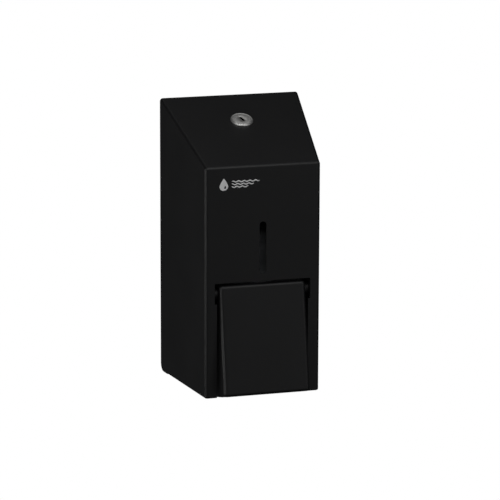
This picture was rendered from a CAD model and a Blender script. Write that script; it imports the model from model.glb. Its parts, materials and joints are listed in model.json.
"""Looks of a wall mounted soap dispenser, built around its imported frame.

The cover and the lever are folded from one thickness of sheet steel, so each is computed here as one
developable surface: straight walls, cylindrical bends and small spherical corners, given its wall by a
Solidify modifier. Every length is in metres, with +Z up and the user on the -Y side.
"""

from __future__ import annotations

import json
import logging
import math
from dataclasses import dataclass, field
from enum import Enum
from typing import Any, Optional, Sequence

import bmesh
import bpy
import numpy as np
from mathutils import Matrix, Vector

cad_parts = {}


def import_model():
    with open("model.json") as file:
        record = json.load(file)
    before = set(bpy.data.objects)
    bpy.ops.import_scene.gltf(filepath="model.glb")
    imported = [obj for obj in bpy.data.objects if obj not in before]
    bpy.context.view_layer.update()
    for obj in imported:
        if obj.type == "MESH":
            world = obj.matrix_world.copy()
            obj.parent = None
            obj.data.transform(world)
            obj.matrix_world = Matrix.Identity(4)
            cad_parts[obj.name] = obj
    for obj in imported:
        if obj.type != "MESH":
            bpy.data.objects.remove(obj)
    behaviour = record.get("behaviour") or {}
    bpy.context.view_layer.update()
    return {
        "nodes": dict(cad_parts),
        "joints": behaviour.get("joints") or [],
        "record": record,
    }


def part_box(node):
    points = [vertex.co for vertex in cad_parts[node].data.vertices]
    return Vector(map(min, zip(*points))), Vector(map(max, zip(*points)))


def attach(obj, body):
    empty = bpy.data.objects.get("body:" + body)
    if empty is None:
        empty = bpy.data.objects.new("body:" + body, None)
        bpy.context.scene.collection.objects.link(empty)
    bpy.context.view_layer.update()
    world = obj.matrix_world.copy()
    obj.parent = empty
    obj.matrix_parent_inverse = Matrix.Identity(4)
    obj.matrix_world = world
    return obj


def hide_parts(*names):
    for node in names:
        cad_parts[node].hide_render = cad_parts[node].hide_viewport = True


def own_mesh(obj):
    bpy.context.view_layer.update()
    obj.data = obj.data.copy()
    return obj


LOG = logging.getLogger("soap_dispenser")
MM = 0.001
UP = np.array([0.0, 0.0, 1.0])


# --------------------------------------------------------------------------------------- colours


def linear(hex_colour: str) -> tuple[float, float, float, float]:
    """Turns an sRGB hex colour into the linear values that a shader takes.

    Args:
        hex_colour: six hex digits, such as "1a1a1b".

    Returns:
        Linear red, green and blue, and an alpha of one.
    """
    srgb = np.array([int(hex_colour[i : i + 2], 16) / 255 for i in (0, 2, 4)])
    low, high = srgb / 12.92, ((srgb + 0.055) / 1.055) ** 2.4
    red, green, blue = np.where(srgb <= 0.04045, low, high)
    return float(red), float(green), float(blue), 1.0


def add_node(tree: bpy.types.NodeTree, kind: str, links: Optional[dict] = None, **settings: Any) -> Any:
    """Adds one shader node.

    Args:
        tree: the material's or world's node tree.
        kind: the node's type, such as "ShaderNodeBump".
        links: input name or number to the socket that feeds it.
        settings: input values by name with spaces as underscores, or the node's own properties.

    Returns:
        The new node.
    """
    node = tree.nodes.new(kind)
    for name, value in settings.items():
        socket = node.inputs.get(name.replace("_", " "))
        if hasattr(node, name):
            setattr(node, name, value)
        elif socket is not None:
            socket.default_value = value
    for name, source in (links or {}).items():
        tree.links.new(source, node.inputs[name])
    return node


# -------------------------------------------------------------------------------------- finishes


@dataclass(frozen=True)
class PowderCoat:
    """Black polyester powder coat, sprayed dry and baked: satin, with a fine orange peel."""

    name: str = "black_powder_coat"
    colour: str = "141415"
    roughness: float = 0.42
    peel: float = 0.9 * MM
    peel_depth: float = 0.02 * MM
    grit: float = 0.25 * MM
    broad: float = 40 * MM

    def build(self) -> bpy.types.Material:
        """Makes the material: a dielectric coat whose peel is wider than it is deep."""
        material, tree, shader, place = start_material(self.name, Base_Color=linear(self.colour), IOR=1.5)
        peel = noise(tree, place, self.peel, 1.0)
        grit = noise(tree, place, self.grit, 0.0)
        first = add_node(tree, "ShaderNodeBump", {"Height": peel.outputs["Fac"]}, Strength=0.35,
                         Distance=self.peel_depth)
        heights = {"Height": grit.outputs["Fac"], "Normal": first.outputs[0]}
        second = add_node(tree, "ShaderNodeBump", heights, Strength=0.25, Distance=self.peel_depth / 2)
        tree.links.new(second.outputs[0], shader.inputs["Normal"])
        vary_roughness(tree, shader, noise(tree, place, self.broad, 2.0), self.roughness, 0.03)
        return material


@dataclass(frozen=True)
class MetalFinish:
    """A bare or plated metal whose surface is lined by how it was worked."""

    name: str
    colour: str
    roughness: float
    grain: float = 0.3 * MM
    stretch: tuple[float, float, float] = (1.0, 1.0, 1.0)
    depth: float = 0.004 * MM
    patches: float = 12 * MM

    def build(self) -> bpy.types.Material:
        """Makes the material: a metal with fine lines along one way and faint cloudy patches."""
        material, tree, shader, place = start_material(self.name, Metallic=1.0)
        turned = add_node(tree, "ShaderNodeMapping", {"Vector": place}, Scale=self.stretch)
        grain = noise(tree, turned.outputs[0], self.grain, 3.0)
        tint = clouded(tree, place, self.colour, self.patches, 3.0, (0.85, 1.1))
        tree.links.new(tint.outputs[0], shader.inputs["Base Color"])
        vary_roughness(tree, shader, grain, self.roughness, self.roughness * 0.2)
        raise_surface(tree, shader, grain, 0.3, self.depth)
        return material


@dataclass(frozen=True)
class TurnedMetal:
    """Nickel plated brass faced on a lathe, so its fine lines are rings about the lock's own axis."""

    name: str
    colour: str
    roughness: float
    centre: tuple[float, float, float]
    tilt: float
    face: float
    ring: float = 0.22 * MM
    patches: float = 3 * MM
    oil_starts: float = 0.2 * MM
    oil_full: float = 0.4 * MM

    def build(self) -> bpy.types.Material:
        """Makes the material: rings round the axis, a bump along them, and dark oil below the face."""
        material, tree, shader, place = start_material(self.name, Metallic=1.0)
        local = add_node(tree, "ShaderNodeMapping", {"Vector": place}, vector_type="TEXTURE",
                         Location=self.centre, Rotation=(self.tilt, 0.0, 0.0))
        rings = add_node(tree, "ShaderNodeTexWave", {"Vector": local.outputs[0]}, wave_type="RINGS",
                         rings_direction="Z", Scale=math.pi / 10 / self.ring, Distortion=0.6, Detail=1.0,
                         Detail_Scale=2.0)
        tint = clouded(tree, place, self.colour, self.patches, 3.0, (0.82, 1.12))
        level = add_node(tree, "ShaderNodeSeparateXYZ", {"Vector": local.outputs[0]})
        clean = add_node(tree, "ShaderNodeMapRange", {"Value": level.outputs["Z"]},
                         From_Min=self.face - self.oil_full, From_Max=self.face - self.oil_starts,
                         To_Min=0.004, To_Max=1.0)
        oiled = add_node(tree, "ShaderNodeVectorMath", {0: tint.outputs[0], "Scale": clean.outputs[0]},
                         operation="SCALE")
        tree.links.new(oiled.outputs[0], shader.inputs["Base Color"])
        spread = add_node(tree, "ShaderNodeMapRange", {"Value": rings.outputs["Fac"]},
                          To_Min=self.roughness - 0.04, To_Max=self.roughness + 0.04)
        tree.links.new(spread.outputs[0], shader.inputs["Roughness"])
        raise_surface(tree, shader, rings, 0.25, 0.004 * MM)
        return material


@dataclass(frozen=True)
class MouldedPlastic:
    """An injection moulded plastic or rubber: an even colour with the mould's fine spark texture."""

    name: str
    colour: str
    roughness: float
    ior: float = 1.5
    texture: float = 0.4 * MM
    depth: float = 0.01 * MM
    subsurface: float = 0.0
    bleed: float = 1.5 * MM
    patches: float = 18 * MM

    def build(self) -> bpy.types.Material:
        """Makes the material, with faint flow clouds in its colour."""
        material, tree, shader, place = start_material(
            self.name, IOR=self.ior, Subsurface_Weight=self.subsurface, Subsurface_Scale=self.bleed)
        tint = clouded(tree, place, self.colour, self.patches, 2.0, (0.92, 1.05))
        tree.links.new(tint.outputs[0], shader.inputs["Base Color"])
        spark = noise(tree, place, self.texture, 2.0)
        vary_roughness(tree, shader, spark, self.roughness, 0.05)
        raise_surface(tree, shader, spark, 0.3, self.depth)
        return material


def start_material(name: str, **looks: Any) -> tuple[bpy.types.Material, bpy.types.NodeTree, Any, Any]:
    """Starts a node material.

    Args:
        name: the material's name.
        looks: values of the shader's inputs, with an underscore for each space.

    Returns:
        The material, its tree, its Principled shader, and the Object coordinates to pattern by.
    """
    material = bpy.data.materials.new(name)
    material.use_nodes = True
    tree = material.node_tree
    shader = tree.nodes["Principled BSDF"]
    for look, value in looks.items():
        shader.inputs[look.replace("_", " ")].default_value = value
    place = tree.nodes.new("ShaderNodeTexCoord").outputs["Object"]
    return material, tree, shader, place


def noise(tree: bpy.types.NodeTree, place: Any, size: float, detail: float) -> Any:
    """Adds a noise whose blotches are about one size across."""
    return add_node(tree, "ShaderNodeTexNoise", {"Vector": place}, Scale=1 / size, Detail=detail)


def clouded(tree: bpy.types.NodeTree, place: Any, colour: str, patch: float, detail: float,
            shades: tuple[float, float]) -> Any:
    """Adds a colour that drifts between a darker and a lighter shade of itself in soft patches."""
    cloud = noise(tree, place, patch, detail)
    tint = add_node(tree, "ShaderNodeValToRGB", {"Fac": cloud.outputs["Fac"]})
    base = np.array(linear(colour)[:3])
    for stop, shade in zip(tint.color_ramp.elements, shades):
        stop.color = (*np.minimum(base * shade, 1.0), 1.0)
    return tint


def vary_roughness(tree: bpy.types.NodeTree, shader: Any, noise: Any, middle: float, swing: float) -> None:
    """Lets the shader's roughness follow a noise about its middle value."""
    spread = add_node(tree, "ShaderNodeMapRange", {"Value": noise.outputs["Fac"]}, From_Min=0.3,
                      From_Max=0.7, To_Min=middle - swing, To_Max=middle + swing)
    tree.links.new(spread.outputs[0], shader.inputs["Roughness"])


def raise_surface(tree: bpy.types.NodeTree, shader: Any, texture: Any, strength: float,
                  depth: float) -> None:
    """Raises the surface along a texture by a bump."""
    bump = add_node(tree, "ShaderNodeBump", {"Height": texture.outputs["Fac"]}, Strength=strength,
                    Distance=depth)
    tree.links.new(bump.outputs[0], shader.inputs["Normal"])


# ------------------------------------------------------------------------------------ mesh tools


@dataclass
class SheetMesh:
    """Patches of a surface, each a grid of points, that are welded where their edges meet."""

    name: str
    points: list[np.ndarray] = field(default_factory=list)
    quads: list[np.ndarray] = field(default_factory=list)
    count: int = 0

    def add(self, grid: np.ndarray, keep: Optional[np.ndarray] = None) -> None:
        """Adds a patch.

        Args:
            grid: rows by columns by three. A row to the right and a column up turn about the outside.
            keep: one flag for each cell of the grid, false where the sheet is cut away.
        """
        rows, columns = grid.shape[:2]
        index = np.arange(rows * columns).reshape(rows, columns) + self.count
        quads = np.stack([index[:-1, :-1], index[:-1, 1:], index[1:, 1:], index[1:, :-1]], axis=-1)
        if keep is not None:
            quads = quads[keep]
        self.points.append(grid.reshape(-1, 3))
        self.quads.append(quads.reshape(-1, 4))
        self.count += rows * columns

    def build(self, weld: float = 0.002 * MM) -> bpy.types.Object:
        """Makes the object, with its patches welded and stray points removed.

        Args:
            weld: points closer than this become one.

        Returns:
            The new object, linked to the scene.
        """
        mesh = bpy.data.meshes.new(self.name)
        mesh.from_pydata(np.concatenate(self.points).tolist(), [], np.concatenate(self.quads).tolist())
        work = bmesh.new()
        work.from_mesh(mesh)
        bmesh.ops.remove_doubles(work, verts=work.verts, dist=weld)
        bmesh.ops.delete(work, geom=[v for v in work.verts if not v.link_faces], context="VERTS")
        bmesh.ops.dissolve_degenerate(work, edges=work.edges, dist=weld)
        for face in work.faces:
            face.smooth = True
        work.to_mesh(mesh)
        work.free()
        piece = bpy.data.objects.new(self.name, mesh)
        bpy.context.scene.collection.objects.link(piece)
        return piece


def one_patch(name: str, grid: np.ndarray) -> bpy.types.Object:
    """Makes an object of a single patch."""
    sheet = SheetMesh(name)
    sheet.add(grid)
    return sheet.build()


def upright(flat: np.ndarray, y: float) -> np.ndarray:
    """Stands points given as (across, up) on an upright plane at the depth y."""
    return np.stack([flat[..., 0], np.full(flat.shape[:-1], y), flat[..., 1]], axis=-1)


def slot_edge(points: np.ndarray, straight: float, radius: float) -> np.ndarray:
    """The nearest points of an upright slot's outline to points outside it.

    Args:
        points: (across, up) from the slot's middle.
        straight: half the distance between the middles of its round ends.
        radius: half its width.
    """
    middle = np.stack([0 * points[:, 0], np.clip(points[:, 1], -straight, straight)], axis=1)
    away = points - middle
    away /= np.linalg.norm(away, axis=1)[:, None]
    return middle + away * radius


def bearing(azimuth: float, elevation: float) -> Vector:
    """The unit vector at an azimuth, counted from the user's side towards +X, and an elevation."""
    turn, lift = math.radians(azimuth), math.radians(elevation)
    return Vector((math.sin(turn) * math.cos(lift), -math.cos(turn) * math.cos(lift), math.sin(lift)))


def finish_sheet(piece: bpy.types.Object, thickness: float, edge: float) -> None:
    """Gives a surface its wall and soft edges, and applies them.

    Args:
        piece: the surface, facing outwards.
        thickness: the wall, added on the inside.
        edge: the radius that the coat gives every cut edge.
    """
    if thickness > 0:
        wall = piece.modifiers.new("wall", "SOLIDIFY")
        wall.thickness = thickness
        wall.offset = -1.0
        wall.use_even_offset = True
    if edge > 0:
        bevel = piece.modifiers.new("edge", "BEVEL")
        bevel.width = edge
        bevel.segments = 2
        bevel.limit_method = "ANGLE"
        bevel.angle_limit = math.radians(48)
        bevel.use_clamp_overlap = True
        bevel.harden_normals = False
    weigh = piece.modifiers.new("flats", "WEIGHTED_NORMAL")
    weigh.weight = 80
    weigh.keep_sharp = True
    apply_modifiers(piece)


def trim_behind(piece: bpy.types.Object, depth: float) -> None:
    """Cuts away what lies on the wall's side of an upright plane at a depth."""
    work = bmesh.new()
    work.from_mesh(piece.data)
    everything = [*work.verts, *work.edges, *work.faces]
    bmesh.ops.bisect_plane(work, geom=everything, dist=1e-7, plane_co=(0, depth, 0), plane_no=(0, 1, 0),
                           clear_outer=True)
    work.to_mesh(piece.data)
    work.free()


def apply_modifiers(piece: bpy.types.Object) -> None:
    """Replaces a piece's mesh with what its modifiers make of it."""
    bpy.context.view_layer.update()
    graph = bpy.context.evaluated_depsgraph_get()
    mesh = bpy.data.meshes.new_from_object(piece.evaluated_get(graph), depsgraph=graph)
    piece.modifiers.clear()
    piece.data = mesh
    mesh.name = piece.name


def dress(piece: bpy.types.Object, material: bpy.types.Material) -> None:
    """Gives the whole piece one material."""
    piece.data.materials.clear()
    piece.data.materials.append(material)


def half_way(first: np.ndarray, last: np.ndarray, steps: int) -> np.ndarray:
    """Unit vectors that turn evenly from one direction to another, both ends included."""
    angle = math.acos(float(np.clip(first @ last, -1, 1)))
    share = np.linspace(0, 1, steps + 1)[:, None]
    return (np.sin((1 - share) * angle) * first + np.sin(share * angle) * last) / math.sin(angle)


def revolved(profile: np.ndarray, centre: np.ndarray, frame: np.ndarray, steps: int = 96) -> np.ndarray:
    """Turns a closed or open profile about an axis.

    Each point (r, h) of the profile becomes centre + r (cos a . e1 + sin a . e2) + h . axis.

    Args:
        profile: radius and height of each point, running so that the outside is on its right.
        centre: the point on the axis where height is zero.
        frame: rows e1, e2 and the axis.
        steps: how many points go round.

    Returns:
        The grid of points.
    """
    angle = np.linspace(0, 2 * math.pi, steps + 1)
    around = np.cos(angle)[:, None] * frame[0] + np.sin(angle)[:, None] * frame[1]
    grid = (centre + profile[None, :, :1] * around[:, None, :]
            + profile[None, :, 1:] * frame[2][None, None, :])
    return np.swapaxes(grid, 0, 1)


def collar(block: np.ndarray, centre: np.ndarray, axis: np.ndarray, profile: np.ndarray) -> np.ndarray:
    """Surface from the boundary of a block of a flat grid to a round hole or neck inside it.

    The boundary is walked once round, and each of its points slides straight towards the centre until
    it is on the profile's first circle, and then follows the profile.

    Args:
        block: the grid's points round the hole.
        centre: the hole's centre, on the surface.
        axis: the surface's outward normal there.
        profile: radius and height above the surface of each ring.

    Returns:
        The grid of points, one row for each ring.
    """
    loop = np.concatenate([block[0, :-1], block[:-1, -1], block[-1, :0:-1], block[::-1, 0]])
    away = loop - centre
    away /= np.linalg.norm(away, axis=1)[:, None]
    rings = [centre + away * radius + axis * height for radius, height in profile]
    return np.stack([loop, *rings])


def round_profile(corners: Sequence[tuple[float, float, float]], steps: int = 4) -> np.ndarray:
    """An outline whose corners are arcs.

    Args:
        corners: radius, height and corner radius of each point, with zero for a sharp one.
        steps: pieces in each arc.

    Returns:
        Points of the outline, two columns.
    """
    points = [np.array(c[:2], float) for c in corners]
    out: list[np.ndarray] = [points[0]]
    for index in range(1, len(points) - 1):
        here, radius = points[index], corners[index][2]
        back, ahead = points[index - 1] - here, points[index + 1] - here
        back, ahead = back / np.linalg.norm(back), ahead / np.linalg.norm(ahead)
        if radius <= 0:
            out.append(here)
            continue
        half = math.acos(float(np.clip(back @ ahead, -1, 1))) / 2
        reach = radius / math.tan(half)
        middle = here + (back + ahead) / np.linalg.norm(back + ahead) * radius / math.sin(half)
        start, end = here + back * reach - middle, here + ahead * reach - middle
        arc = half_way(start / radius, end / radius, steps) * radius + middle
        out.extend(arc)
    out.append(points[-1])
    return np.array(out)


# ------------------------------------------------------------------------------------- the cover


@dataclass
class FoldedCover:
    """The cover: left side, front and right side folded from one sheet, closed by the sloping top.

    A wall point is core + r n, where core runs inside the sheet's outer surface by the bend radius r
    and n is the wall's outward normal. Over a bend n turns evenly from one face's normal to the next.
    """

    back_half: float = 63 * MM
    front_half: float = 51 * MM
    depth: float = 103 * MM
    height: float = 245 * MM
    front_height: float = 202 * MM
    bend: float = 2.8 * MM
    sheet: float = 1.2 * MM
    heel: float = 6 * MM
    lip: float = 6 * MM
    lip_start: float = 16 * MM
    lip_bend: float = 1.4 * MM
    mitre: float = 3.6 * MM
    past_wall: float = 1.5 * MM
    opening_half: float = 40.7 * MM
    opening_top: float = 101.1 * MM
    ear_half: float = 42.7 * MM
    ear_low: float = 83 * MM
    lug_depth: float = 17.5 * MM
    slot_half: float = 3 * MM
    slot_length: float = 45.5 * MM
    slot_height: float = 130.5 * MM
    lock_depth: float = 38.4 * MM
    lock_hole: float = 8.1 * MM
    slot_block: tuple[float, float] = (8 * MM, 27 * MM)
    lock_block: float = 12 * MM
    lip_top: float = 12 * MM
    slack: float = 0.01 * MM
    edge: float = 0.3 * MM
    arc_steps: int = 8

    def __post_init__(self) -> None:
        """Works out the slopes and normals, and the height of the cover's bottom in the frame."""
        low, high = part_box("cover")
        self.bottom = low.z
        self.height = high.z - low.z
        self.taper = (self.back_half - self.front_half) / self.depth
        self.fall = (self.height - self.front_height) / self.depth
        self.side_cos = 1 / math.hypot(1, self.taper)
        self.top_cos = 1 / math.hypot(1, self.fall)
        self.n_left = np.array([-1.0, -self.taper, 0.0]) * self.side_cos
        self.n_right = np.array([1.0, -self.taper, 0.0]) * self.side_cos
        self.n_front = np.array([0.0, -1.0, 0.0])
        self.n_top = np.array([0.0, -self.fall, 1.0]) * self.top_cos
        self.core_front = -self.depth + self.bend

    def core_half(self, y: np.ndarray) -> np.ndarray:
        """Half width of the core at depth y: the outer wall, set in by the bend radius."""
        return self.back_half + self.taper * y - self.bend / self.side_cos

    def core_top(self, y: np.ndarray) -> np.ndarray:
        """Height of the core's top edge at depth y, above the cover's bottom."""
        return self.height + self.fall * y - self.bend / self.top_cos

    def side_depths(self) -> np.ndarray:
        """Depths of the side wall's columns, from the wall forwards, close together at the heel."""
        heel = -self.heel * (1 - np.cos(np.linspace(0, math.pi / 2, 9)))
        lock = -self.lock_depth + np.linspace(self.lock_block, -self.lock_block, 11)
        lip = [-9 * MM, -12 * MM, -self.lip_start + 0.5 * MM, -self.lip_start, -21 * MM]
        ahead = np.linspace(-56 * MM, self.core_front + self.mitre, 6)
        return np.concatenate([[self.past_wall], heel, lip, lock, ahead, [self.core_front]])

    def front_columns(self) -> np.ndarray:
        """Places across the front, with lines at the edges of the openings."""
        edge = self.core_half(np.array(self.core_front))
        half = np.concatenate([
            np.linspace(0, self.slot_block[0], 6),
            [self.lock_block, 20 * MM, 30 * MM, self.opening_half, self.ear_half, self.ear_half + 2 * MM,
             edge - self.mitre, edge],
        ])
        return np.concatenate([-half[:0:-1], half])

    def wall_rows(self) -> np.ndarray:
        """Heights of the wall's rows at the front, above the cover's bottom."""
        return np.concatenate([
            [self.lip_bend, self.lip_top, 30 * MM, 50 * MM, 70 * MM, self.ear_low, self.ear_low + 1 * MM,
             92 * MM, self.opening_top - 1.1 * MM, self.opening_top], self.slot_rows(),
            [170 * MM, 185 * MM, float(self.core_top(np.array(self.core_front)))],
        ])

    def slot_rows(self) -> np.ndarray:
        """Heights of the rows of the block round the sight slot."""
        return self.slot_height + np.linspace(-self.slot_block[1], self.slot_block[1], 19)

    def build(self) -> bpy.types.Object:
        """Makes the cover, with its openings, lugs, lip and reliefs."""
        sheet = SheetMesh("folded_cover")
        depths, columns = self.side_depths(), self.front_columns()
        core, normal, zone = self._perimeter(depths, columns)
        grid, rows = self._walls(core, normal, zone)
        sheet.add(grid, self._walls_keep(core, zone, rows))
        sheet.add(self._top(depths, columns), self._top_keep(depths, columns))
        sheet.add(self._slot_ring(columns))
        sheet.add(self._lock_ring(depths, columns))
        for side in (-1, 1):
            sheet.add(self._lug(side))
        piece = sheet.build()
        trim_behind(piece, 0.0)
        piece.data.transform(Matrix.Translation((0, 0, self.bottom)))
        finish_sheet(piece, self.sheet, self.edge)
        return piece

    def _perimeter(self, depths: np.ndarray,
                   columns: np.ndarray) -> tuple[np.ndarray, np.ndarray, np.ndarray]:
        """Core points and normals round the three walls.

        Returns:
            Core points, normals, and a zone number: 0 and 4 the sides, 1 and 3 the bends, 2 the front.
        """
        half = self.core_half(depths)
        left = np.stack([-half, depths, 0 * depths], axis=1)
        front = np.stack([columns, np.full_like(columns, self.core_front), 0 * columns], axis=1)
        right = left[::-1] * np.array([-1, 1, 1])
        turn_left = half_way(self.n_left, self.n_front, self.arc_steps)
        turn_right = half_way(self.n_front, self.n_right, self.arc_steps)
        parts = [(left, self.n_left), (left[-1], turn_left[1:-1]), (front, self.n_front),
                 (right[0], turn_right[1:-1]), (right, self.n_right)]
        parts = [(p + 0 * n, n + 0 * p) for p, n in parts]
        zone = np.concatenate([np.full(len(points), index) for index, (points, _) in enumerate(parts)])
        return np.concatenate([p for p, _ in parts]), np.concatenate([n for _, n in parts]), zone

    def _walls(self, core: np.ndarray, normal: np.ndarray,
               zone: np.ndarray) -> tuple[np.ndarray, np.ndarray]:
        """The walls' grid: lip, lower bend, wall, and the bend into the top."""
        rows = self.wall_rows()
        y = core[:, 1]
        top = self.core_top(y)
        share = np.clip((rows - self.opening_top) / (rows[-1] - self.opening_top), 0, 1)
        risen = self.opening_top + share[:, None] * (top - self.opening_top)[None]
        wall_z = np.where(share[:, None] > 0, risen, rows[:, None] + 0 * top[None])
        into_heel = np.clip(y + self.heel, 0, self.heel)
        heel_z = self.heel - np.sqrt(np.maximum(self.heel**2 - into_heel**2, 0))
        behind = (y > -self.lip_start + 0.1 * MM) & ((zone == 0) | (zone == 4))
        near = (rows[:, None] < self.lip_top + self.slack) & behind[None]
        share_up = (rows[:, None] - self.lip_bend) / (self.lip_top - self.lip_bend)
        lowered = heel_z[None] + (self.lip_top - heel_z[None]) * share_up
        wall_z = np.where(near, lowered, wall_z)
        wall = core[None] + self.bend * normal[None] + wall_z[..., None] * UP
        angle = np.linspace(math.pi / 2, 0, self.arc_steps + 1)[:-1]
        lower = (core[None] + (self.bend - self.lip_bend) * normal[None] + self.lip_bend * (
            np.cos(angle)[:, None, None] * normal[None] + (1 - np.sin(angle))[:, None, None] * UP))
        lip = core[None] - (self.lip - self.bend) * normal[None]
        turn = np.stack([half_way(n, self.n_top, self.arc_steps)[1:] for n in normal], axis=1)
        upper = core[None] + self.bend * turn + top[None, :, None] * UP
        return np.concatenate([lip, lower, wall, upper]), rows

    def _walls_keep(self, core: np.ndarray, zone: np.ndarray, rows: np.ndarray) -> np.ndarray:
        """Which cells of the walls' grid are steel."""
        x = (core[:-1, 0] + core[1:, 0]) / 2
        y = (core[:-1, 1] + core[1:, 1]) / 2
        front = (zone[:-1] == 2) & (zone[1:] == 2)
        first = self.arc_steps + 1
        centre = np.full(first - 1 + len(rows) + self.arc_steps, 1.0)
        centre[:first] = 0.0
        centre[first : first + len(rows) - 1] = (rows[:-1] + rows[1:]) / 2
        z = centre[:, None]
        lower = (np.arange(len(centre)) < first)[:, None]
        across = np.abs(x)[None]
        keep = np.ones((len(centre), len(x)), bool)
        keep &= ~(front[None] & (z < self.opening_top) & (across < self.opening_half))
        ear = (z > self.ear_low) & (z < self.opening_top)
        keep &= ~(front[None] & ear & (across < self.ear_half))
        slot = np.abs(z - self.slot_height) < self.slot_block[1]
        keep &= ~(front[None] & slot & (across < self.slot_block[0]))
        keep &= ~(lower & (y > -self.lip_start)[None])
        mitred = np.where(front, np.abs(x) > np.abs(core[:, 0])[zone == 2].max() - self.mitre,
                          y < self.core_front + self.mitre - 0.1 * MM)
        keep[0] &= ~mitred
        return keep

    def _top(self, depths: np.ndarray, columns: np.ndarray) -> np.ndarray:
        """The sloping top's grid, one row for each depth, meeting the bends along its edges."""
        share = columns / columns[-1]
        x = self.core_half(depths)[:, None] * share[None]
        y = np.repeat(depths[:, None], len(columns), axis=1)
        z = np.repeat(self.core_top(depths)[:, None], len(columns), axis=1)
        return (np.stack([x, y, z], axis=-1) + self.bend * self.n_top)[::-1]

    def _top_keep(self, depths: np.ndarray, columns: np.ndarray) -> np.ndarray:
        """Which cells of the top are steel: all but the block round the lock's hole."""
        depths = depths[::-1]
        y = (depths[:-1] + depths[1:])[:, None] / 2
        x = (columns[:-1] + columns[1:])[None] / 2
        return ~((np.abs(y + self.lock_depth) < self.lock_block) & (np.abs(x) < self.lock_block))

    def _slot_ring(self, columns: np.ndarray) -> np.ndarray:
        """Steel between a block of the front's grid and the slot, point to nearest point."""
        block = columns[np.abs(columns) < self.slot_block[0] + self.slack]
        loop = self._loop(block, self.slot_rows())
        middle = np.array([0.0, self.slot_height])
        inner = slot_edge(loop - middle, self.slot_length / 2 - self.slot_half, self.slot_half) + middle
        return upright(np.stack([loop, inner]), -self.depth)

    def _lock_ring(self, depths: np.ndarray, columns: np.ndarray) -> np.ndarray:
        """Steel between a block of the top's grid and the lock's round hole."""
        grid = self._top(depths, columns)
        reach = self.lock_block + self.slack
        rows = np.abs(depths[::-1] + self.lock_depth) < reach
        block = grid[rows][:, np.abs(columns) < reach]
        centre = np.array([0, -self.lock_depth, self.height - self.fall * self.lock_depth])
        return collar(block, centre, self.n_top, np.array([[self.lock_hole, 0.0]]))

    @staticmethod
    def _loop(x: np.ndarray, z: np.ndarray) -> np.ndarray:
        """The closed boundary of a block of grid lines, as seen from outside, turning left."""
        return np.concatenate([
            np.stack([x[:-1], np.full(len(x) - 1, z[0])], axis=1),
            np.stack([np.full(len(z) - 1, x[-1]), z[:-1]], axis=1),
            np.stack([x[:0:-1], np.full(len(x) - 1, z[-1])], axis=1),
            np.stack([np.full(len(z), x[0]), z[::-1]], axis=1),
        ])

    def _lug(self, side: int) -> np.ndarray:
        """A lug welded behind the opening's ear, which holds one end of the lever's pin.

        Args:
            side: -1 for the left one, 1 for the right one.
        """
        z = np.linspace(self.ear_low + 1 * MM, self.opening_top - 1 * MM, 5)
        y = np.linspace(-self.depth + self.sheet, -self.depth + self.lug_depth, 5)
        along, up = np.meshgrid(y, z)
        grid = np.stack([np.full(along.shape, side * self.ear_half), along, up], axis=-1)
        return grid if side < 0 else grid[:, ::-1]


# ------------------------------------------------------------------------------------- the lever


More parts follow.
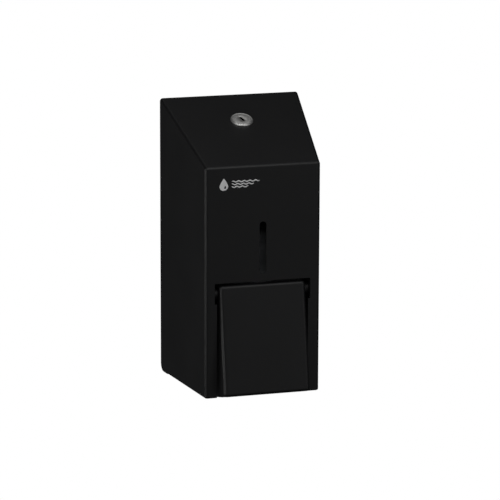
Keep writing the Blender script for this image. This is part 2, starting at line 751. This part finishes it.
@dataclass
class PushLever:
    """The push lever: a shallow pan folded on all four edges, hung from a pin near its top.

    Its outline is swept round a rectangle: each point is core + r n over the fold, and the folds run
    back from the face to a depth that follows the height. At the bottom the corners of the outline are
    all but square behind the fold, and foot_fall is how far the bottom edge drops for each metre back.
    """

    width: float = 77 * MM
    up: float = 7.4 * MM
    down: float = 88.5 * MM
    face: float = -10.3 * MM
    bend: float = 3 * MM
    sheet: float = 1.2 * MM
    back: float = 5.5 * MM
    foot_back: float = 17 * MM
    foot_fall: float = 0.07
    fold_inset: float = 4 * MM
    angle: float = math.radians(10)
    edge: float = 0.3 * MM
    arc_steps: int = 8

    def fold_depth(self, z: np.ndarray) -> np.ndarray:
        """How far back the side folds reach at height z: shallow beside the tank, deeper low down."""
        return np.interp(z, [-60 * MM, -22 * MM], [self.foot_back, self.back])

    def build(self, pivot: np.ndarray) -> bpy.types.Object:
        """Makes the lever where it rests, tilted out about the pivot.

        Args:
            pivot: the middle of the lever's pin.
        """
        half, low, high = self.width / 2 - self.bend, -self.down + self.bend, self.up - self.bend
        columns = np.concatenate([[-half], np.linspace(-half + 1 * MM, half - 1 * MM, 13), [half]])
        rows = np.concatenate([[low], np.linspace(low + 1 * MM, high - 1 * MM, 17), [high]])
        normals = [np.array(n, float) for n in ((0, 0, -1), (1, 0, 0), (0, 0, 1), (-1, 0, 0))]
        runs = [(columns, 0 * columns + low), (0 * rows + half, rows),
                (columns[::-1], 0 * columns + high), (0 * rows - half, rows[::-1])]
        core, normal = [], []
        for index, (x, z) in enumerate(runs):
            n, ahead = normals[index], normals[(index + 1) % 4]
            core.append(np.stack([x, 0 * x, z], axis=1))
            normal.append(np.tile(n, (len(x), 1)))
            corner = half_way(n, ahead, self.arc_steps)[1:-1]
            core.append(np.tile(core[-1][-1], (len(corner), 1)))
            normal.append(corner)
        core.append(core[0][:1])
        normal.append(normal[0][:1])
        path, out = np.concatenate(core), np.concatenate(normal)
        cap = np.array([0.0, -1.0, 0.0])
        y_core = self.face + self.bend
        depth = self.fold_depth(path[:, 2] + self.bend * out[:, 2])
        short = (np.abs(path[:, 0]) < self.width / 2 - self.fold_inset) & (np.abs(out[:, 2]) > 0.99)
        depth = np.where(short, 0.0, depth)
        share = np.array([0.0, 0.4, 0.8, 1.0])[:, None]
        y_wall = depth[None] * (1 - share) + y_core * share
        square = np.where(out[:, 2] < 0, 1 / np.abs(out).max(axis=1), 1.0)
        reach = np.where(share < 1, square[None], 1.0)[..., None] * self.bend
        wall = path[None] + reach * out[None] - y_wall[..., None] * cap
        low_edge = (out[:, 2] < -0.1)[None]
        wall[..., 2] -= np.where(low_edge, self.foot_fall * (y_wall - y_core), 0.0)
        turn = np.stack([half_way(n, cap, self.arc_steps)[1:] for n in out], axis=1)
        fold = path[None] + self.bend * turn - y_core * cap
        sheet = SheetMesh("push_lever")
        sheet.add(np.concatenate([wall, fold]))
        face = np.stack(np.meshgrid(columns, rows), axis=-1)
        sheet.add(upright(face, self.face))
        piece = sheet.build()
        turn_out = Matrix.Translation(Vector(pivot)) @ Matrix.Rotation(-self.angle, 4, "X")
        piece.data.transform(turn_out)
        finish_sheet(piece, self.sheet, self.edge)
        return piece


# -------------------------------------------------------------------------------------- the lock


@dataclass
class CamLockFace:
    """The lock's bezel and the face of its barrel with the keyway, square to the sloping top."""

    joint: dict[str, Any]
    rim: float = 9.9 * MM
    body: float = 8.0 * MM
    height: float = 1.9 * MM
    plug: float = 8.0 * MM
    length: float = 16 * MM
    keyway_length: float = 7 * MM
    keyway_width: float = 2.2 * MM
    keyway_depth: float = 3.2 * MM
    keyway_turn: float = math.radians(23)

    def __post_init__(self) -> None:
        """Takes the lock's place and direction from its joint."""
        self.centre = np.array(self.joint["pos_m"], float)
        self.axis = np.array(self.joint["axis"], float)
        self.frame = np.stack([np.array([1.0, 0, 0]), np.cross(self.axis, [1.0, 0, 0]), self.axis])
        self.tilt = math.atan2(-self.axis[1], self.axis[2])

    def bezel(self) -> bpy.types.Object:
        """The fixed ring: a chamfered rim, a shallow recess for the barrel, and the body behind."""
        profile = round_profile([
            (self.plug + 0.1 * MM, -1.0 * MM, 0),
            (self.plug + 0.1 * MM, self.height - 0.1 * MM, 0.1 * MM),
            (self.plug + 0.45 * MM, self.height, 0.15 * MM), (self.rim - 0.8 * MM, self.height, 0.25 * MM),
            (self.rim, self.height - 1.0 * MM, 0.3 * MM), (self.rim, 0.0, 0.05 * MM),
            (self.body, -0.02 * MM, 0), (self.body, -self.length, 0.3 * MM), (6.1 * MM, -self.length, 0),
            (6.1 * MM, -1.0 * MM, 0), (self.plug + 0.1 * MM, -1.0 * MM, 0),
        ])[::-1]
        return one_patch("lock_bezel", revolved(profile, self.centre, self.frame))

    def barrel(self) -> bpy.types.Object:
        """The turning plug, whose face is a disc with a straight keyway cut into it.

        The face is a ring of points from the plug's edge to the keyway's outline: each goes to the
        keyway's nearest point, and the keyway's wall then runs down to its floor.
        """
        angle = np.linspace(0, 2 * math.pi, 97)
        ring = np.stack([np.cos(angle), np.sin(angle)], axis=1)
        half, end = self.keyway_width / 2, self.keyway_length / 2 - self.keyway_width / 2
        turn = np.array([[math.cos(self.keyway_turn), math.sin(self.keyway_turn)],
                         [-math.sin(self.keyway_turn), math.cos(self.keyway_turn)]])
        slot = slot_edge((ring @ turn.T) * self.plug, end, half) @ turn
        top = self.height - 0.15 * MM
        rounding = 0.18 * MM
        levels = [
            (ring * self.plug, -0.9 * MM), (ring * self.plug, top - rounding),
            (ring * (self.plug - 0.3 * rounding), top - 0.3 * rounding),
            (ring * (self.plug - rounding), top), (slot * 0.5 + ring * self.plug * 0.5, top),
            (slot * 1.06, top), (slot, top - 0.12 * MM), (slot, top - self.keyway_depth),
            (slot * 0.0, top - self.keyway_depth),
        ]
        grid = np.stack([self.centre + xy @ self.frame[:2] + h * self.axis for xy, h in levels])
        return one_patch("lock_plug", grid)


# -------------------------------------------------------------------------------------- the mark


@dataclass
class DropMark:
    """A generic printed mark: a drop of soap with a glint, beside three rows of small waves."""

    centre_x: float = -34.8 * MM
    height: float = 187 * MM
    drop: float = 3.9 * MM
    film: float = 0.12 * MM
    waves: int = 3
    wave_start: float = -28 * MM
    wave_end: float = -3 * MM
    wave_length: float = 5 * MM
    wave_rise: float = 0.45 * MM
    wave_pitch: float = 2.3 * MM
    stroke_half: float = 0.6 * MM

    def build(self, front: float, bottom: float) -> bpy.types.Object:
        """Makes the mark as thin raised print.

        Args:
            front: the front panel's depth.
            bottom: the cover's bottom edge.
        """
        sheet = SheetMesh("drop_mark")
        angle = np.linspace(0, 2 * math.pi, 65)
        above = np.clip(np.sin(angle), 0, 1)
        drop = np.stack([self.drop * np.cos(angle) * (1 - above) ** 0.35 * (1 - 0.2 * above),
                         np.where(np.sin(angle) > 0, 1.75, 1.0) * self.drop * np.sin(angle)], axis=1)
        centre = np.array([self.centre_x, self.height - 0.35 * self.drop])
        glint = 0.42 * drop * [0.55, 0.6] + [0.3 * self.drop, -0.3 * self.drop]
        self._band(sheet, drop + centre, glint + centre, front, bottom)
        for row in range(self.waves):
            end = self.wave_end - self.wave_length * row
            along = np.linspace(self.wave_start, end, 90)
            phase = 2 * math.pi * (along - self.wave_start) / self.wave_length + row
            middle = self.height + (1 - row) * self.wave_pitch + self.wave_rise * np.sin(phase)
            off_middle = np.abs(2 * (along - self.wave_start) / (end - self.wave_start) - 1)
            taper = self.stroke_half * np.sqrt(np.clip(1 - off_middle**6, 0.0, 1))
            self._band(sheet, np.stack([along, middle - taper], axis=1),
                       np.stack([along, middle + taper], axis=1), front, bottom)
        piece = sheet.build(weld=0.0005 * MM)
        finish_sheet(piece, self.film * 0.9, 0.0)
        return piece

    def _band(self, sheet: SheetMesh, first: np.ndarray, last: np.ndarray, front: float,
              bottom: float) -> None:
        """Adds a flat strip of print between two outlines, the last on the first's left."""
        sheet.add(upright(np.stack([first, last]) + [0.0, bottom], front - self.film))


# -------------------------------------------------------------------------------- inside pieces


@dataclass
class SmokedTank:
    """The tank: a blow moulded box whose every edge is round, with a neck below and a mouth above."""

    edge: float = 8 * MM
    wall: float = 2 * MM
    neck: float = 14 * MM
    neck_radius: float = 11 * MM
    neck_depth: float = 54 * MM
    mouth: float = 9 * MM
    mouth_radius: float = 18 * MM
    mouth_depth: float = 56 * MM
    fillet: float = 1.5 * MM
    rib_depth: float = 0.8 * MM
    rib_pitch: float = 18 * MM

    def build(self) -> bpy.types.Object:
        """Makes the tank's outer skin, open at the neck and the mouth, and gives it its wall.

        Each point of a finely divided box is pulled in to the core box, then moved out along the line
        from the core by the edge radius. Shallow level ribs dip the sides as a power of a cosine.
        """
        low, high = (np.array(c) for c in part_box("tank"))
        self.low, self.high = low + [0, 0, self.neck], high - [0, 0, self.mouth]
        sheet = SheetMesh("smoked_tank")
        for axis in (0, 1):
            for end in (0, 1):
                sheet.add(self._side(axis, end))
        openings = ((0, self.neck_radius, self.neck_depth, self.neck),
                    (1, self.mouth_radius, self.mouth_depth, self.mouth))
        for end, radius, depth, reach in openings:
            grid = self._side(2, end)
            middle = (grid[:-1, :-1] + grid[1:, 1:]) / 2 - [0, -depth, 0]
            cut = np.abs(middle[..., :2]).max(axis=-1) < radius + 2.5 * self.fillet
            sheet.add(grid, ~cut)
            rows, columns = np.nonzero(cut.any(axis=1))[0], np.nonzero(cut.any(axis=0))[0]
            block = grid[rows[0] : rows[-1] + 2, columns[0] : columns[-1] + 2]
            turn = np.linspace(0, math.pi / 2, 6)
            arc = np.stack([radius + self.fillet * (1 - np.sin(turn)),
                            self.fillet * (1 - np.cos(turn))], axis=1)
            profile = np.concatenate([arc, [[radius, reach]]])
            centre = np.array([0.0, -depth, self.high[2] if end else self.low[2]])
            sheet.add(collar(block, centre, UP if end else -UP, profile))
        piece = sheet.build()
        finish_sheet(piece, self.wall, 0.3 * MM)
        return piece

    def _side(self, axis: int, end: int) -> np.ndarray:
        """One side of the body's box, with its edges already carried half way round."""
        curve = self.edge * (1 - np.cos(np.linspace(0, math.pi / 2, 7)))
        spans = []
        for other in ((axis + 1) % 3, (axis + 2) % 3):
            low, high = self.low[other], self.high[other]
            middle = np.linspace(low + self.edge, high - self.edge, 60)[1:-1]
            spans.append(np.concatenate([low + curve, middle, high - curve[::-1]]))
        first, second = np.meshgrid(spans[0], spans[1], indexing="ij")
        point = np.zeros((*first.shape, 3))
        point[..., axis] = self.high[axis] if end else self.low[axis]
        point[..., (axis + 1) % 3], point[..., (axis + 2) % 3] = first, second
        core = np.clip(point, self.low + self.edge, self.high - self.edge)
        away = point - core
        away /= np.linalg.norm(away, axis=-1)[..., None]
        up = (point[..., 2] - self.low[2]) / (self.high[2] - self.low[2])
        band = np.clip(6 * np.minimum(up, 1 - up) - 0.6, 0, 1)
        wave = 0.5 - 0.5 * np.cos(2 * math.pi * (point[..., 2] - self.low[2]) / self.rib_pitch)
        dip = self.rib_depth * band * wave**4
        grid = core + away * (self.edge - dip[..., None])
        return np.swapaxes(grid, 0, 1) if end else grid


@dataclass
class ReturnSpring:
    """The plunger's return spring: round wire wound into a coil along the pump's barrel."""

    wire: float = 0.6 * MM
    coil: float = 4.6 * MM
    turns: float = 6.5
    closed: float = 0.85

    def build(self) -> bpy.types.Object:
        """Makes the coil inside its solids' box.

        The wire's centre goes round with the angle and along with a pitch that is closed up at both
        ends; its skin is a circle in the plane of the outward radius and the coil's axis.
        """
        low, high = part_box("return_spring")
        centre = np.array([0.0, 0.0, (low.z + high.z) / 2])
        share = np.linspace(0, 1, int(self.turns * 36) + 1)
        angle = 2 * math.pi * self.turns * share
        lead = self.closed / self.turns
        travel = np.interp(share, [0, lead, 1 - lead, 1], [0.0, 0.06, 0.94, 1.0])
        first, last = high.y - self.wire, low.y + self.wire
        out = np.stack([np.cos(angle), 0 * angle, np.sin(angle)], axis=1)
        spine = centre + self.coil * out
        spine[:, 1] = first + (last - first) * travel
        around = np.linspace(0, 2 * math.pi, 13)
        radius = self.wire * np.minimum(1.0, np.minimum(share, 1 - share) * 400)
        along = np.array([0.0, 1.0, 0.0])
        circle = np.cos(around)[:, None] * out[:, None] + np.sin(around)[:, None] * along
        return one_patch("coil_spring", spine[:, None] + radius[:, None, None] * circle)


# ------------------------------------------------------------------------------------- the studio


@dataclass
class Softbox:
    """A soft rectangular lamp that faces the object."""

    name: str
    azimuth: float
    elevation: float
    distance: float
    width: float
    height: float
    power: float

    def build(self, aim: Vector) -> None:
        """Hangs the lamp at its bearing from the aim, turned to face it."""
        lamp = bpy.data.lights.new(self.name, "AREA")
        lamp.shape = "RECTANGLE"
        lamp.size, lamp.size_y = self.width, self.height
        lamp.energy = self.power
        holder = bpy.data.objects.new(self.name, lamp)
        away = bearing(self.azimuth, self.elevation)
        holder.location = aim + away * self.distance
        holder.rotation_euler = away.to_track_quat("Z", "Y").to_euler()
        bpy.context.scene.collection.objects.link(holder)


@dataclass
class Studio:
    """A pale seamless room far round the object, soft lamps, and the camera."""

    azimuth: float = -16.75
    elevation: float = 13.06
    roll: float = 0.18
    distance: float = 2.612
    lens: float = 216.0
    aim_x: float = 3.95 * MM
    aim_drop: float = 5.96 * MM
    room: float = 7.0
    floor: float = -3.0
    dimness: float = 0.036
    softboxes: tuple[Softbox, ...] = (
        Softbox("left_low_softbox", -108, -8, 1.5, 0.35, 0.7, 1.6),
        Softbox("left_side_softbox", -85, 5, 1.5, 0.6, 1.0, 1.2),
        Softbox("left_softbox", -55, 8, 1.5, 0.25, 1.0, 3.0),
        Softbox("overhead_softbox", 25, 55, 1.5, 1.0, 0.6, 2.0),
        Softbox("high_front_softbox", -10, 40, 1.5, 1.0, 0.4, 3.2),
        Softbox("low_front_softbox", 17, -14, 1.5, 0.9, 0.6, 0.3),
        Softbox("right_softbox", 35, 10, 1.6, 0.5, 1.0, 1.1),
        Softbox("top_softbox", -17, 100, 1.5, 1.2, 0.6, 1.1),
    )

    def build(self) -> None:
        """Sets the room, the lamps, the camera and the view."""
        low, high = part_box("cover")
        aim = Vector((self.aim_x, (low.y + high.y) / 2, (low.z + high.z) / 2 - self.aim_drop))
        self._room()
        for softbox in self.softboxes:
            softbox.build(aim)
        self._camera(aim)
        world = bpy.data.worlds.new("dim_room")
        world.use_nodes = True
        glow = world.node_tree.nodes["Background"].inputs
        glow["Color"].default_value, glow["Strength"].default_value = linear("e8ebee"), self.dimness
        bpy.context.scene.world = world
        bpy.context.scene.view_settings.view_transform = "Standard"

    def _room(self) -> None:
        """A pale dome that flattens into a floor, seen by the camera and too far off to light anything."""
        turn = np.linspace(0, 2 * math.pi, 65)
        lift = np.linspace(-math.pi / 2, math.pi / 2, 33)
        around, rise = np.meshgrid(turn, lift)
        grid = self.room * np.stack([np.cos(rise) * np.cos(around), np.cos(rise) * np.sin(around),
                                     np.sin(rise)], axis=-1)
        grid[..., 2] = np.maximum(grid[..., 2], self.floor)
        room = one_patch("pale_room", grid)
        material = bpy.data.materials.new("pale_room")
        material.use_nodes = True
        tree = material.node_tree
        tree.nodes.clear()
        glow = add_node(tree, "ShaderNodeEmission", Color=linear("ffffff"), Strength=1.0)
        add_node(tree, "ShaderNodeOutputMaterial", {"Surface": glow.outputs[0]})
        dress(room, material)
        for ray in ("diffuse", "glossy", "transmission", "shadow"):
            setattr(room, f"visible_{ray}", False)

    def _camera(self, aim: Vector) -> None:
        """Stands the camera back from the aim, turned, lifted and rolled by its angles."""
        back, roll = bearing(self.azimuth, self.elevation), math.radians(self.roll)
        right = Vector((0, 0, 1)).cross(back).normalized()
        up = back.cross(right)
        across = right * math.cos(roll) + up * math.sin(roll)
        above = up * math.cos(roll) - right * math.sin(roll)
        matrix = Matrix((across, above, back)).transposed().to_4x4()
        matrix.translation = aim + back * self.distance
        data = bpy.data.cameras.new("camera")
        data.lens, data.sensor_width = self.lens, 36.0
        data.clip_start, data.clip_end = 0.05, 50.0
        camera = bpy.data.objects.new("camera", data)
        camera.matrix_world = matrix
        bpy.context.scene.collection.objects.link(camera)
        bpy.context.scene.camera = camera


# ---------------------------------------------------------------------------------- putting it up


class Slot(Enum):
    """The record's material slots."""

    POWDER_COAT = "powder_coat"
    PLATED_STEEL = "plated_steel"
    LOCK_STEEL = "lock_steel"
    BARREL_STEEL = "barrel_steel"
    SCREW_STEEL = "screw_steel"
    SMOKED_PLASTIC = "smoked_plastic"
    WHITE_PLASTIC = "white_plastic"
    BLACK_PLASTIC = "black_plastic"
    BLACK_RUBBER = "black_rubber"
    SPRING_STEEL = "spring_steel"
    MARK_PRINT = "mark_print"


def slot_finishes(lock: CamLockFace) -> dict[Slot, bpy.types.Material]:
    """Makes the material of each slot."""
    axis = (tuple(float(c) for c in lock.centre), lock.tilt)
    return {
        Slot.POWDER_COAT: PowderCoat().build(),
        Slot.PLATED_STEEL: MetalFinish("zinc_plated_sheet", "b9bcbb", 0.34, stretch=(1, 1, 0.15)).build(),
        Slot.LOCK_STEEL: TurnedMetal("nickel_plated_bezel", "f4f3f0", 0.44, *axis, -0.2 * MM).build(),
        Slot.BARREL_STEEL: TurnedMetal("nickel_plated_plug", "f0efec", 0.5, *axis, lock.height).build(),
        Slot.SCREW_STEEL: MetalFinish("bright_zinc_fasteners", "c8cac9", 0.25).build(),
        Slot.SMOKED_PLASTIC: MouldedPlastic("smoked_polyethylene", "6a6c6f", 0.35, 1.51).build(),
        Slot.WHITE_PLASTIC: MouldedPlastic("white_acetal", "e4e2da", 0.4, 1.48, subsurface=0.15).build(),
        Slot.BLACK_PLASTIC: MouldedPlastic("black_nylon", "0b0b0c", 0.55, 1.53).build(),
        Slot.BLACK_RUBBER: MouldedPlastic("moulded_rubber", "131314", 0.7, 1.52).build(),
        Slot.SPRING_STEEL: MetalFinish("drawn_stainless_wire", "bdbdb9", 0.28).build(),
        Slot.MARK_PRINT: MouldedPlastic("pale_grey_print", "fafafa", 0.5, 1.5).build(),
    }


def place(piece: bpy.types.Object, body: str, slot: Slot, finishes: dict[Slot, bpy.types.Material],
          *replaced: str) -> None:
    """Dresses a finished piece, fixes it to its body and lets it stand for CAD nodes.

    Args:
        piece: the new object.
        body: the CAD body that it rides on.
        slot: the record's material slot.
        finishes: the material of each slot.
        replaced: the CAD nodes that it stands for.
    """
    dress(piece, finishes[slot])
    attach(piece, body)
    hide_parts(*replaced)
    LOG.info("%s rides on %s and has %d faces", piece.name, body, len(piece.data.polygons))


def main() -> None:
    """Builds the object round its frame, then the studio."""
    logging.basicConfig(level=logging.INFO, format="%(name)s: %(message)s")
    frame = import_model()
    joints = {joint["name"]: joint for joint in frame["joints"]}
    lock = CamLockFace(joints["lock_turn"])
    finishes = slot_finishes(lock)
    slots = {part["node"]: part["material_slot"] for part in frame["record"]["subparts"]}
    for name, node in frame["nodes"].items():
        dress(node, finishes[Slot(slots[name])])
    cover = FoldedCover()
    place(cover.build(), "cover_unit", Slot.POWDER_COAT, finishes, "cover")
    pivot = np.array(joints["lever_press"]["pos_m"], float)
    place(PushLever().build(pivot), "lever_unit", Slot.POWDER_COAT, finishes, "lever")
    place(lock.bezel(), "cover_unit", Slot.LOCK_STEEL, finishes, "lock_body")
    place(lock.barrel(), "lock_core", Slot.BARREL_STEEL, finishes, "lock_barrel")
    mark = DropMark().build(-cover.depth, cover.bottom)
    place(mark, "cover_unit", Slot.MARK_PRINT, finishes, "mark_plate")
    place(SmokedTank().build(), "wall_unit", Slot.SMOKED_PLASTIC, finishes, "tank")
    spring = ReturnSpring().build()
    place(spring, "wall_unit", Slot.SPRING_STEEL, finishes, "return_spring")
    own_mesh(spring)
    Studio().build()


if __name__ == "__main__":
    main()
